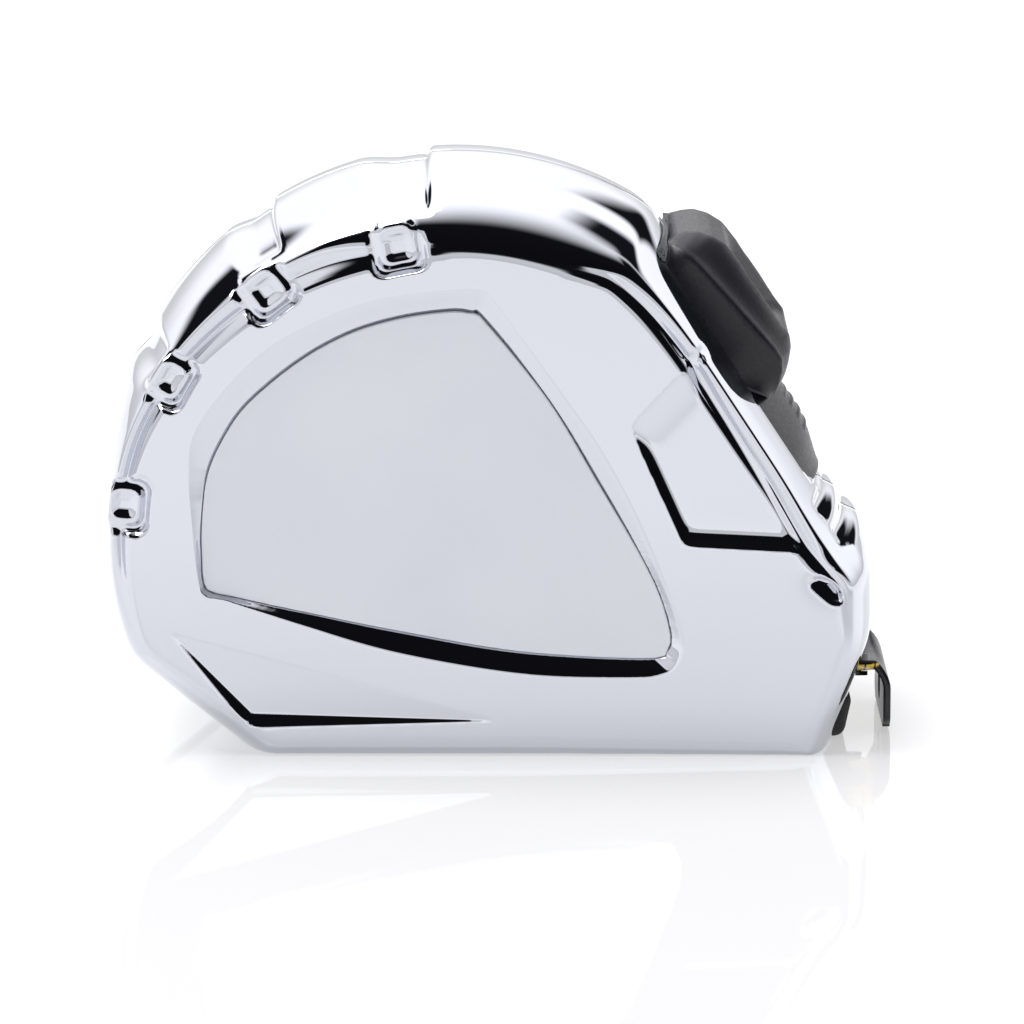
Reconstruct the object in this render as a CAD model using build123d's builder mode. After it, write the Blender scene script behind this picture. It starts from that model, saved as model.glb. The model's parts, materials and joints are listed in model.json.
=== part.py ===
"""A pocket tape measure with a chromed two-half case, a thumb lock on its sloping front,
a sprung reel with the wound blade, a floating end hook and a belt clip.

Frame: millimetres, +X towards the mouth, +Z up, the two half shells meet on Y = 0.
The origin is on the flat base, halfway along the case and on the parting plane.
"""
from math import cos, pi, radians, sin, sqrt
import os

from build123d import *

os.makedirs("parts", exist_ok=True)

# ---------------------------------------------------------------- case
case_half = 18.0  # half of the width across the two side faces
wall = 2.0
cavity_half = 15.0
rim_centre = (-3.0, 21.7)  # the rear and the top are one round about this centre
rim_radius = 35.0
front_x = 37.9  # foremost face of the nose
keel = 2.5  # the arched rim would reach this far under the base, which is cut flat
side_round = 2.2
# the rim is arched across its width: (distance from the parting plane, drop from the crown)
arch = ((0.0, 0.0), (6.0, 0.3), (11.0, 1.25), (15.0, 2.6), (18.0, 4.1))

# ---------------------------------------------------------------- sloping front and lock
slope_origin = (17.0, 49.6)
slope_angle = 56.75  # below the horizontal
lock_length = 20.0
lock_height = 5.3
lock_half = 11.2
lock_gap = 0.35
lock_travel = 6.0
stem_start, stem_end, stem_half = 5.0, 9.0, 3.0
stem_gap = 0.4
arm_end = 28.0  # along the slope
arm_under, arm_thick = 3.0, 2.0
plate_start, plate_shoulder, plate_end, plate_half = 16.0, 24.5, 29.4, 8.4
plate_seat, plate_proud = 1.0, 0.9

# ---------------------------------------------------------------- blade and reel
blade_half = 9.5
blade_thick = 0.2
blade_z = 5.2  # top of the blade at its middle
blade_sag = 2.0  # the edges curl up this much
blade_end = 38.4
coil_gap = 0.3
coil_radius = 20.2
reel_centre = (-4.5, blade_z + coil_gap + coil_radius)
hub_radius = 13.0
hub_wall = 1.3
flange_radius = 21.0
flange_inner, flange_thick = 9.8, 1.0
spindle_radius = 3.0
running = 0.06  # radial clearance of the reel on its spindle
hook_thick = 0.8
hook_gap = 0.12
hook_travel = 0.8
leg_x = 38.8
rivets = ((33.2, 0.0), (35.8, 4.5), (35.8, -4.5))

# ---------------------------------------------------------------- screws and clip
screws = ((-27.0, 10.5), (-22.7, 41.4), (11.0, 45.0), (21.5, 14.0))
screw_radius = 1.0
screw_head = 1.9
clip_x, clip_half = -4.0, 7.0
clip_thick = 1.0
clip_screw_z = 40.0
clip_bend = 2.3  # inner radius of the bend at the top of the clip
clip_bend_z = 46.0
clip_tip = (25.9, 8.4)  # Y and Z of the flared end
clip_slit = 0.22  # the bend is parted here, and the clip flexes about the bend's centre

# ---------------------------------------------------------------- side panels
label_depth = 0.9
label_thick = 0.5
label_centre, label_reach = (-4.0, 24.0), 18.0
label_bevel = 1.8
label_step = 0.35
finger_depth = 0.8
valley_angles = (99.7, 124.8, 150.4, 176.5)
valley_radius, valley_depth = 7.0, 0.5


def slope_point(along, out):
    """Frame X and Z of a point given along the slope and out from it."""
    a = radians(slope_angle)
    return (
        slope_origin[0] + along * cos(a) + out * sin(a),
        slope_origin[1] - along * sin(a) + out * cos(a),
    )


def slope_plane(out=0.0):
    """Plane on the slope: X runs down it, Y runs towards the far side, Z stands out."""
    x, z = slope_point(0, out)
    a = radians(slope_angle)
    return Plane(origin=(x, 0, z), x_dir=(cos(a), 0, -sin(a)), z_dir=(sin(a), 0, cos(a)))


def across_slope(along):
    """Plane across the slope: X is frame Y, Y stands out from the slope."""
    x, z = slope_point(along, 0)
    a = radians(slope_angle)
    return Plane(origin=(x, 0, z), x_dir=(0, 1, 0), z_dir=(cos(a), 0, -sin(a)))


def side_plane(y):
    """Plane looking along +Y: X is frame X, Y is frame Z, its normal is -Y."""
    return Plane(origin=(0, y, 0), x_dir=(1, 0, 0), z_dir=(0, -1, 0))


def save(shape, name):
    shape.label = name
    export_step(shape, f"parts/{name}.step")


# The case's outline on the parting plane.
circle_z = 8.5
rear_top = (rim_centre[0] - sqrt(rim_radius**2 - (circle_z - rim_centre[1]) ** 2), circle_z)
crown_end = slope_point(-1.76, 0)
nose_corner = slope_point((front_x - slope_origin[0]) / cos(radians(slope_angle)), 0)
with BuildSketch() as outline:
    with BuildLine():
        Polyline((-22.1, -keel), rear_top)
        ThreePointArc(rear_top, (rim_centre[0], rim_centre[1] + rim_radius), crown_end)
        Polyline(crown_end, nose_corner, (front_x, 10.5), (33.2, -keel), (-22.1, -keel))
    make_face()
    fillet(outline.vertices().sort_by_distance((*crown_end, 0))[0], 9)
    fillet(outline.vertices().sort_by_distance((*nose_corner, 0))[0], 14)


def arched_half(inset, half, floor, rounding):
    """One half of the case's form on the near side, inset from its outline."""
    rings = [(y, drop) for y, drop in arch if y < half - 0.01]
    last = rings[-1]
    following = [r for r in arch if r[0] > last[0]][0]
    share = (half - last[0]) / (following[0] - last[0])
    rings.append((half, last[1] + share * (following[1] - last[1])))
    with BuildPart() as form:
        for (y0, d0), (y1, d1) in zip(rings, rings[1:]):
            for y, d in ((y0, d0), (y1, d1)):
                with BuildSketch(side_plane(-y)):
                    add(outline.sketch)
                    if inset + d > 0:
                        offset(amount=-(inset + d), kind=Kind.INTERSECTION)
            loft(ruled=True)
        if rounding:
            fillet(form.faces().sort_by(Axis.Y)[0].outer_wire().edges(), rounding)
        split(bisect_by=Plane.XY.offset(floor), keep=Keep.TOP)
    return form.part


def label_sketch(grow):
    """Outline of a side label, its edges moved out by about the given amount."""
    share = 1 + grow / label_reach
    rear, top, front = (-27.7, 16.0), (-1.0, 43.7), (18.0, 9.6)
    with BuildSketch() as sketch:
        with BuildLine():
            for points in (
                (rear, (-20.6, 36.6), top),
                (top, (10.9, 26.4), front),
                (front, (-5.0, 11.5), rear),
            ):
                ThreePointArc(*[tuple(c + share * (p - c) for p, c in zip(point, label_centre)) for point in points])
        make_face()
        fillet(sketch.vertices(), 1.6 * share)
    return sketch.sketch


def plate_sketch(grow):
    """Outline of the front plate on the slope, grown by the given amount."""
    with BuildSketch() as sketch:
        with BuildLine():
            Polyline(
                (plate_start, -plate_half),
                (plate_shoulder, -plate_half),
                (plate_end, 0),
                (plate_shoulder, plate_half),
                (plate_start, plate_half),
                close=True,
            )
        make_face()
        fillet(sketch.vertices(), 1.2)
        if grow:
            offset(amount=grow, kind=Kind.INTERSECTION)
    return sketch.sketch


# ---------------------------------------------------------------- the two halves of the case
# Everything the halves share, on the near side.
mouth_x, mouth_half, mouth_top, tray_top = 31.3, 10.4, 9.0, 4.2
label_area, label_pocket, label_frame = label_sketch(0), label_sketch(0.1), label_sketch(label_bevel)
plate_area, plate_pocket = plate_sketch(0), plate_sketch(0.1)
half_case = arched_half(0, case_half, 0, side_round) - arched_half(wall, cavity_half, wall, 0)
boss_outer, boss_wide, boss_step = 2.3, 3.2, 11.3
spindle_seat, spindle_boss, washer_face = 14.0, 6.0, 11.6

with BuildPart() as near_half:
    add(half_case)
    # label recess with its stepped frame
    with BuildSketch(side_plane(-case_half)):
        add(label_frame)
    extrude(amount=-label_step, mode=Mode.SUBTRACT)
    with BuildSketch(side_plane(-case_half)):
        add(label_pocket)
    extrude(amount=-label_depth, mode=Mode.SUBTRACT)
    # finger recess behind the slope
    with BuildSketch(side_plane(-case_half)) as finger:
        with BuildLine():
            Polyline(
                (14.9, 30.0), (18.3, 22.0), (19.7, 20.6), (29.6, 20.4), (27.4, 25.4), (20.6, 38.2), (15.7, 33.6),
                close=True,
            )
        make_face()
        fillet(finger.vertices(), 0.9)
    extrude(amount=-finger_depth, mode=Mode.SUBTRACT)
    # shallow valleys across the crown
    for angle in valley_angles:
        away = rim_radius + valley_radius - valley_depth
        x = rim_centre[0] + away * cos(radians(angle))
        z = rim_centre[1] + away * sin(radians(angle))
        with BuildSketch(side_plane(0)):
            with Locations((x, z)):
                Circle(valley_radius)
        extrude(amount=case_half, mode=Mode.SUBTRACT)
    # bosses for the four case screws and the spindle
    for x, z in screws:
        with BuildSketch(side_plane(0)):
            with Locations((x, z)):
                Circle(boss_outer)
        extrude(amount=cavity_half + 0.3)
        with BuildSketch(side_plane(-boss_step)):
            with Locations((x, z)):
                Circle(boss_wide)
        extrude(amount=cavity_half + 0.3 - boss_step)
    with BuildSketch(side_plane(-washer_face)):
        with Locations(reel_centre):
            Circle(spindle_boss)
    extrude(amount=cavity_half + 0.3 - washer_face)
    with BuildSketch(side_plane(-washer_face + 1)):
        with Locations(reel_centre):
            Circle(spindle_radius + 0.02)
    extrude(amount=spindle_seat - washer_face + 1, mode=Mode.SUBTRACT)
    # mouth and bumper notch
    with BuildSketch(side_plane(0)):
        with Locations(((mouth_x + 45) / 2, (mouth_top - 2) / 2)):
            Rectangle(45 - mouth_x, mouth_top + 2)
    extrude(amount=mouth_half, mode=Mode.SUBTRACT)
    # slot for the lock's stem
    with BuildSketch(slope_plane(-4)):
        with Locations(((stem_start + stem_end + lock_travel) / 2, 0)):
            Rectangle(stem_end - stem_start + lock_travel + 2 * stem_gap, 2 * (stem_half + stem_gap))
    extrude(amount=6, mode=Mode.SUBTRACT)
    # seat of the front plate
    with BuildSketch(slope_plane(-plate_seat)):
        add(plate_pocket)
    extrude(amount=4, mode=Mode.SUBTRACT)
    split(bisect_by=Plane.XZ, keep=Keep.TOP)

with BuildPart() as near_shell:
    add(near_half.part)
    for x, z in screws:
        with BuildSketch(side_plane(0)):
            with Locations((x, z)):
                Circle(screw_radius + 0.05)
        extrude(amount=10, mode=Mode.SUBTRACT)
save(near_shell.part, "near_shell")

head_seat = 13.5
spindle_screw_seat = 15.2
with BuildPart() as far_shell:
    add(mirror(near_half.part, about=Plane.XZ))
    for x, z in screws:
        with BuildSketch(side_plane(0)):
            with Locations((x, z)):
                Circle(screw_radius + 0.2)
        extrude(amount=-case_half - 1, mode=Mode.SUBTRACT)
        with BuildSketch(side_plane(head_seat)):
            with Locations((x, z)):
                Circle(screw_head + 0.3)
        extrude(amount=-6, mode=Mode.SUBTRACT)
    # spindle screw under the far label
    with BuildSketch(side_plane(spindle_seat - 1)):
        with Locations(reel_centre):
            Circle(1.5)
    extrude(amount=-4, mode=Mode.SUBTRACT)
    with BuildSketch(side_plane(spindle_screw_seat)):
        with Locations(reel_centre):
            Circle(2.9)
    extrude(amount=-4, mode=Mode.SUBTRACT)
    # pad and boss for the clip's screw
    with BuildSketch(side_plane(11.8)):
        with Locations((clip_x, clip_screw_z)):
            Circle(3.6)
    extrude(amount=-(case_half - 11.8))
    with BuildSketch(side_plane(12.2)):
        with Locations((clip_x, clip_screw_z)):
            Circle(1.25)
    extrude(amount=-8, mode=Mode.SUBTRACT)
save(far_shell.part, "far_shell")

# ---------------------------------------------------------------- fixed pieces on the case
with BuildPart() as near_label_plate:
    with BuildSketch(side_plane(-case_half + label_depth)):
        add(label_area)
    extrude(amount=label_thick)
    chamfer(near_label_plate.faces().sort_by(Axis.Y)[0].outer_wire().edges(), 0.15)
save(near_label_plate.part, "near_label_plate")

with BuildPart() as far_label_plate:
    with BuildSketch(side_plane(case_half - label_depth)):
        add(label_area)
        with Locations((clip_x, clip_screw_z)):
            Circle(3.8, mode=Mode.SUBTRACT)
    extrude(amount=-label_thick)
save(far_label_plate.part, "far_label_plate")

with BuildPart() as front_plate:
    with BuildSketch(across_slope(plate_start)):
        with BuildLine():
            ThreePointArc((-plate_half, 0.1), (0, plate_proud), (plate_half, 0.1))
            Polyline((plate_half, 0.1), (plate_half, -plate_seat), (-plate_half, -plate_seat), (-plate_half, 0.1))
        make_face()
    extrude(amount=plate_end - plate_start)
    with BuildSketch(slope_plane(-plate_seat)):
        add(plate_area)
    extrude(amount=4, mode=Mode.INTERSECT)
save(front_plate.part, "front_plate")

with BuildPart() as nose_bumper:
    with BuildSketch(side_plane(0)):
        with BuildLine():
            Polyline((mouth_x + 0.1, 0), (33.6, 0), (35.2, 1.6), (35.8, tray_top), (mouth_x + 0.1, tray_top), close=True)
        make_face()
    extrude(amount=mouth_half - 0.2, both=True)
    chamfer(nose_bumper.edges().filter_by(Axis.Y).sort_by(Axis.Z)[-2:], 0.3)
save(nose_bumper.part, "nose_bumper")

tray_start, rail_inner, rail_outer, rail_top = 13.0, 9.9, 11.4, 8.4
with BuildPart() as mouth_guide:
    with Locations(((tray_start + mouth_x) / 2, 0, (wall + rail_top) / 2)):
        Box(mouth_x - tray_start, 2 * rail_outer, rail_top - wall)
    with Locations(((tray_start + mouth_x) / 2, 0, (tray_top + rail_top) / 2)):
        Box(mouth_x - tray_start + 1, 2 * rail_inner, rail_top - tray_top, mode=Mode.SUBTRACT)
    chamfer(mouth_guide.edges().filter_by(Axis.Y).sort_by(Axis.X)[0], 0.8)
save(mouth_guide.part, "mouth_guide")

with BuildPart() as spindle:
    with BuildSketch(side_plane(spindle_seat)):
        with Locations(reel_centre):
            Circle(spindle_radius)
    extrude(amount=2 * spindle_seat)
    with BuildSketch(side_plane(spindle_seat)):
        with Locations(reel_centre):
            Circle(1.25)
    extrude(amount=8, mode=Mode.SUBTRACT)
    # slot that takes the inner end of the main spring
    with Locations((reel_centre[0], 0, reel_centre[1] + 2.3)):
        Box(0.7, 14, 2.2, mode=Mode.SUBTRACT)
save(spindle.part, "spindle")

washer_thick = 0.45
for name, y in (("near_washer", -washer_face + washer_thick), ("far_washer", washer_face)):
    with BuildPart() as washer:
        with BuildSketch(side_plane(y)):
            with Locations(reel_centre):
                Circle(5.6)
                Circle(spindle_radius + 0.05, mode=Mode.SUBTRACT)
        extrude(amount=washer_thick)
    save(washer.part, name)

with BuildPart() as spindle_screw:
    with BuildSketch(side_plane(spindle_screw_seat + 1.5)):
        with Locations(reel_centre):
            Circle(2.6)
    extrude(amount=1.5)
    fillet(spindle_screw.edges().sort_by(Axis.Y)[-1], 0.5)
    with BuildSketch(side_plane(spindle_screw_seat + 0.1)):
        with Locations(reel_centre):
            Circle(1.2)
    extrude(amount=spindle_screw_seat - 7.5)
    with BuildSketch(side_plane(spindle_screw_seat + 1.5)):
        with Locations(reel_centre):
            RegularPolygon(1.0, 6)
    extrude(amount=0.9, mode=Mode.SUBTRACT)
save(spindle_screw.part, "spindle_screw")

for number, (x, z) in enumerate(screws, 1):
    with BuildPart() as case_screw:
        with BuildSketch(side_plane(head_seat + 1.6)):
            with Locations((x, z)):
                Circle(screw_head)
        extrude(amount=1.6)
        fillet(case_screw.edges().sort_by(Axis.Y)[-1], 0.5)
        with BuildSketch(side_plane(head_seat + 0.1)):
            with Locations((x, z)):
                Circle(screw_radius)
        extrude(amount=head_seat + 9)
        with BuildSketch(side_plane(head_seat + 1.6)):
            with Locations((x, z)):
                RegularPolygon(0.8, 6)
        extrude(amount=0.9, mode=Mode.SUBTRACT)
    save(case_screw.part, f"case_screw_{number}")

# A leaf beside the lock's slot whose bump rests near the stem.
with BuildPart() as lock_detent_spring:
    with BuildSketch(slope_plane(-3.0)):
        with Locations((20, 5.4)):
            Rectangle(8, 2.4)
    extrude(amount=0.4)
    with BuildSketch(slope_plane(-4.6)):
        with BuildLine():
            Polyline((17.2, 4.2), (11.0, 4.0), (10.0, 3.4), (9.0, 4.0), (6.0, 4.2), (6.0, 4.6), (17.2, 4.6), close=True)
        make_face()
    extrude(amount=2.0)
save(lock_detent_spring.part, "lock_detent_spring")

# ---------------------------------------------------------------- belt clip on the far side
clip_mid = case_half + clip_thick + clip_bend  # Y of the bend's centre
clip_plane = Plane(origin=(clip_x - clip_half, 0, 0), x_dir=(0, 1, 0), z_dir=(1, 0, 0))
with BuildPart() as clip_bracket:
    with BuildSketch(clip_plane):
        with Locations((case_half + clip_thick / 2, (34 + clip_bend_z) / 2)):
            Rectangle(clip_thick, clip_bend_z - 34)
        with Locations((clip_mid, clip_bend_z)):
            Circle(clip_bend + clip_thick)
            Circle(clip_bend, mode=Mode.SUBTRACT)
        with Locations((clip_mid + 5, clip_bend_z)):
            Rectangle(10 + 2 * clip_slit, 20, mode=Mode.SUBTRACT)
        with Locations((clip_mid, clip_bend_z - 4)):
            Rectangle(2 * clip_bend, 8, mode=Mode.SUBTRACT)
    extrude(amount=2 * clip_half)
    fillet(clip_bracket.edges().filter_by(Axis.Y).sort_by(Axis.Z)[:2], 2)
    with BuildSketch(side_plane(case_half - 1)):
        with Locations((clip_x, clip_screw_z)):
            Circle(1.6)
    extrude(amount=-4, mode=Mode.SUBTRACT)
save(clip_bracket.part, "clip_bracket")

with BuildPart() as clip_tongue:
    with BuildSketch(clip_plane):
        with BuildLine():
            y_in, y_out = clip_mid + clip_bend, clip_mid + clip_bend + clip_thick
            Polyline((y_in, clip_bend_z), (y_in, 12), (clip_tip[0] - 0.95, clip_tip[1] - 0.3))
            Polyline((clip_tip[0] - 0.95, clip_tip[1] - 0.3), clip_tip, (y_out, 12), (y_out, clip_bend_z))
            Line((y_out, clip_bend_z), (y_in, clip_bend_z))
        make_face()
        with Locations((clip_mid, clip_bend_z)):
            Circle(clip_bend + clip_thick)
            Circle(clip_bend, mode=Mode.SUBTRACT)
        with Locations((clip_mid - 5, clip_bend_z)):
            Rectangle(10 + 2 * clip_slit, 20, mode=Mode.SUBTRACT)
        with Locations((clip_mid, clip_bend_z - 4)):
            Rectangle(2 * clip_bend, 8, mode=Mode.SUBTRACT)
    extrude(amount=2 * clip_half)
save(clip_tongue.part, "clip_tongue")

with BuildPart() as clip_screw:
    with BuildSketch(side_plane(case_half + clip_thick + 1.6)):
        with Locations((clip_x, clip_screw_z)):
            Circle(2.7)
    extrude(amount=1.6)
    fillet(clip_screw.edges().sort_by(Axis.Y)[-1], 1.2)
    with BuildSketch(side_plane(case_half + clip_thick + 0.1)):
        with Locations((clip_x, clip_screw_z)):
            Circle(1.2)
    extrude(amount=6.5)
    with BuildSketch(side_plane(case_half + clip_thick + 1.6)):
        with Locations((clip_x, clip_screw_z)):
            RegularPolygon(1.1, 6)
    extrude(amount=1.1, mode=Mode.SUBTRACT)
save(clip_screw.part, "clip_screw")

# ---------------------------------------------------------------- reel
flange_outer = flange_inner + flange_thick
with BuildPart() as reel_drum:
    with BuildSketch(side_plane(-flange_inner)):
        with Locations(reel_centre):
            Circle(flange_radius)
    extrude(amount=flange_thick)
    with BuildSketch(side_plane(flange_inner - 0.05)):
        with Locations(reel_centre):
            Circle(hub_radius)
            Circle(hub_radius - hub_wall, mode=Mode.SUBTRACT)
    extrude(amount=2 * flange_inner - 0.05)
    with BuildSketch(side_plane(-5)):
        with Locations(reel_centre):
            Circle(4.8)
    extrude(amount=flange_inner - 5)
    with BuildSketch(side_plane(0)):
        with Locations(reel_centre):
            Circle(spindle_radius + running)
    extrude(amount=case_half, mode=Mode.SUBTRACT)
    with BuildSketch(Plane(origin=(reel_centre[0] - hub_radius - 1, 0, reel_centre[1]), z_dir=(1, 0, 0))):
        Circle(1.05)
    extrude(amount=hub_wall + 2, mode=Mode.SUBTRACT)
save(reel_drum.part, "reel_drum")

with BuildPart() as reel_cover:
    with BuildSketch(side_plane(flange_outer)):
        with Locations(reel_centre):
            Circle(flange_radius)
    extrude(amount=flange_thick)
    with BuildSketch(side_plane(flange_inner)):
        with Locations(reel_centre):
            Circle(hub_radius - hub_wall - 0.05)
            Circle(hub_radius - hub_wall - 1.1, mode=Mode.SUBTRACT)
    extrude(amount=1.2)
    with BuildSketch(side_plane(flange_inner)):
        with Locations(reel_centre):
            Circle(4.8)
    extrude(amount=flange_inner - 5)
    with BuildSketch(side_plane(flange_outer + 1)):
        with Locations(reel_centre):
            Circle(spindle_radius + running)
    extrude(amount=8, mode=Mode.SUBTRACT)
save(reel_cover.part, "reel_cover")

# The main spring: a flat spiral inside the hub.
spring_turns, spring_in, spring_out, spring_thick = 7, 5.4, 11.1, 0.35


def spiral(shift):
    """Points of the spring's spiral, moved outwards by the given amount."""
    count = spring_turns * 12
    pitch = (spring_out - spring_thick - spring_in) / count
    return [
        (
            reel_centre[0] + (spring_in + shift + pitch * k) * cos(2 * pi * k / 12),
            reel_centre[1] + (spring_in + shift + pitch * k) * sin(2 * pi * k / 12),
        )
        for k in range(count + 1)
    ]


with BuildPart() as main_spring:
    with BuildSketch(side_plane(7.5)):
        with BuildLine():
            inside, outside = spiral(0), spiral(spring_thick)
            Spline(*inside)
            Spline(*outside)
            Line(inside[0], outside[0])
            Line(inside[-1], outside[-1])
        make_face()
    extrude(amount=15)
save(main_spring.part, "main_spring")

with BuildPart() as blade_coil:
    with BuildSketch(side_plane(blade_half)):
        with Locations(reel_centre):
            Circle(coil_radius)
            Circle(hub_radius + 0.03, mode=Mode.SUBTRACT)
    extrude(amount=2 * blade_half)
save(blade_coil.part, "blade_coil")

with BuildPart() as blade_anchor:
    with BuildSketch(Plane(origin=(reel_centre[0] - hub_radius + 0.1, 0, reel_centre[1]), z_dir=(1, 0, 0))):
        Circle(1.0)
    extrude(amount=hub_wall + 0.1)
    with BuildSketch(Plane(origin=(reel_centre[0] - hub_radius + hub_wall + 0.1, 0, reel_centre[1]), z_dir=(1, 0, 0))):
        Circle(1.5)
    extrude(amount=0.3)
save(blade_anchor.part, "blade_anchor")


# ---------------------------------------------------------------- blade and hook
def blade_section(plane, half, lift, thick, sag):
    """A strip's cross-section whose edges curl up."""
    share = (half / blade_half) ** 2
    with BuildSketch(plane) as sketch:
        with BuildLine():
            low, high = blade_z + lift, blade_z + lift + thick
            ThreePointArc((-half, low + sag * share), (0, low), (half, low + sag * share))
            Line((half, low + sag * share), (half, high + sag * share))
            ThreePointArc((half, high + sag * share), (0, high), (-half, high + sag * share))
            Line((-half, high + sag * share), (-half, low + sag * share))
        make_face()
    return sketch.sketch


def cross_plane(x):
    """Plane across the blade: X is frame Y, Y is frame Z."""
    return Plane(origin=(x, 0, 0), x_dir=(0, 1, 0), z_dir=(1, 0, 0))


curl_x = 12  # the blade has taken its full curl from here on
flat_end = blade_section(cross_plane(reel_centre[0]), blade_half, -blade_thick, blade_thick, 0.06)
curled_end = blade_section(cross_plane(curl_x), blade_half, -blade_thick, blade_thick, blade_sag)
with BuildPart() as blade_lead:
    loft([flat_end, curled_end])
    extrude(curled_end, amount=blade_end - curl_x)
    for x, y in rivets:
        with Locations((x, y, blade_z)):
            Cylinder(1.25, 6, mode=Mode.SUBTRACT)
save(blade_lead.part, "blade_lead")

hook_start, hook_half, leg_half, leg_top, leg_bottom = 30.9, 7.4, 8.0, 8.2, 0.3
plate_metal = 0.6
hook_section = blade_section(cross_plane(hook_start), hook_half, hook_gap, plate_metal, blade_sag)
with BuildPart() as end_hook:
    extrude(hook_section, amount=leg_x + 0.1 - hook_start)
    with Locations((leg_x + hook_thick / 2, 0, (leg_top + leg_bottom) / 2)):
        Box(hook_thick, 2 * leg_half, leg_top - leg_bottom)
    fillet(end_hook.edges().filter_by(Axis.X).filter_by_position(Axis.X, leg_x, leg_x + hook_thick), 1.2)
    # slots that let the hook float on its rivets
    for x, y in rivets:
        with BuildSketch(Plane.XY.offset(blade_z)):
            with Locations((x - hook_travel / 2, y)):
                SlotOverall(2 * 1.1 + hook_travel + 0.3, 2 * 1.1 + 0.3)
        extrude(amount=4, mode=Mode.SUBTRACT)
    # hole at the foot of the leg
    with BuildSketch(cross_plane(leg_x - 1)):
        with Locations((0, 3.2)):
            Circle(1.6)
    extrude(amount=3, mode=Mode.SUBTRACT)
save(end_hook.part, "end_hook")

for number, (x, y) in enumerate(rivets, 1):
    lift = blade_sag * (y / blade_half) ** 2
    tilt = 2 * blade_sag * y / blade_half**2
    turn = -tilt * 180 / pi
    with BuildPart() as hook_rivet:
        with Locations(Location((x, y, blade_z + lift), (-turn, 0, 0))):
            with Locations((0, 0, 0.45)):
                Cylinder(1.08, 1.9)
            with Locations((0, 0, hook_gap + plate_metal + 0.15 + 0.3)):
                Cylinder(1.9, 0.6)
            with Locations((0, 0, -blade_thick - 0.25)):
                Cylinder(1.7, 0.4)
    save(hook_rivet.part, f"hook_rivet_{number}")

# ---------------------------------------------------------------- thumb lock
profile_plane = Plane(
    origin=(slope_origin[0], 0, slope_origin[1]),
    x_dir=(cos(radians(slope_angle)), 0, -sin(radians(slope_angle))),
    z_dir=(0, -1, 0),
)
with BuildPart() as thumb_lock:
    under = [(-11.2, -1.0), (-11.0, -0.9), (-6.0, 0.05), (0, lock_gap), (6.0, 0.05), (11.0, -0.9), (11.2, -1.0)]
    with BuildSketch(across_slope(0)) as section:
        with BuildLine():
            Polyline(*under, (lock_half, lock_height), (-lock_half, lock_height), close=True)
        make_face()
        fillet(section.vertices().sort_by(Axis.Y)[-2:], 3)
    extrude(amount=lock_length)
    with BuildSketch(profile_plane):
        with BuildLine():
            Spline((0, 0.5), (1.1, 2.84), (3.9, 4.5), (6.6, 5.1), (11.0, lock_height), (15.8, 5.0), (18.9, 2.9), (20, 0.8))
            Polyline((20, 0.8), (20, -3), (0, -3), (0, 0.5))
        make_face()
    extrude(amount=15, both=True, mode=Mode.INTERSECT)
    # thumb dish
    x, z = slope_point(10.4, lock_height + 16 - 1.7)
    with Locations((x, 0, z)):
        Sphere(16, mode=Mode.SUBTRACT)
    # relief over the front plate
    with BuildSketch(slope_plane(-2)):
        with Locations((15.5, 0)):
            Rectangle(12, 18)
    extrude(amount=2 + plate_proud + lock_gap, mode=Mode.SUBTRACT)
save(thumb_lock.part, "thumb_lock")

with BuildPart() as lock_stem:
    with BuildSketch(slope_plane(-arm_under)):
        with Locations(((stem_start + stem_end) / 2, 0)):
            Rectangle(stem_end - stem_start, 2 * stem_half)
    extrude(amount=arm_under + 0.2)
save(lock_stem.part, "lock_stem")

pad_low, pad_high = (25.0, 11.0), (27.3, 13.2)
with BuildPart() as brake_arm:
    with BuildSketch(side_plane(stem_half)):
        with BuildLine():
            Polyline(
                slope_point(stem_start, -arm_under),
                slope_point(arm_end, -arm_under),
                (27.1, pad_high[1]),
                (25.2, pad_high[1]),
                slope_point(arm_end - 2, -arm_under - arm_thick),
                slope_point(stem_start, -arm_under - arm_thick),
                close=True,
            )
        make_face()
    extrude(amount=2 * stem_half)
save(brake_arm.part, "brake_arm")

with BuildPart() as brake_pad:
    with Locations(((pad_low[0] + pad_high[0]) / 2, 0, (pad_low[1] + pad_high[1]) / 2)):
        Box(pad_high[0] - pad_low[0], 8, pad_high[1] - pad_low[1])
    fillet(brake_pad.edges().filter_by(Axis.X).sort_by(Axis.Z)[:2], 0.6)
save(brake_pad.part, "brake_pad")
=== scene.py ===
import bpy, bmesh, json
from math import atan2, cos, degrees, exp, hypot, log, pi, radians, sin, sqrt
from mathutils import Matrix, Vector


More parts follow.
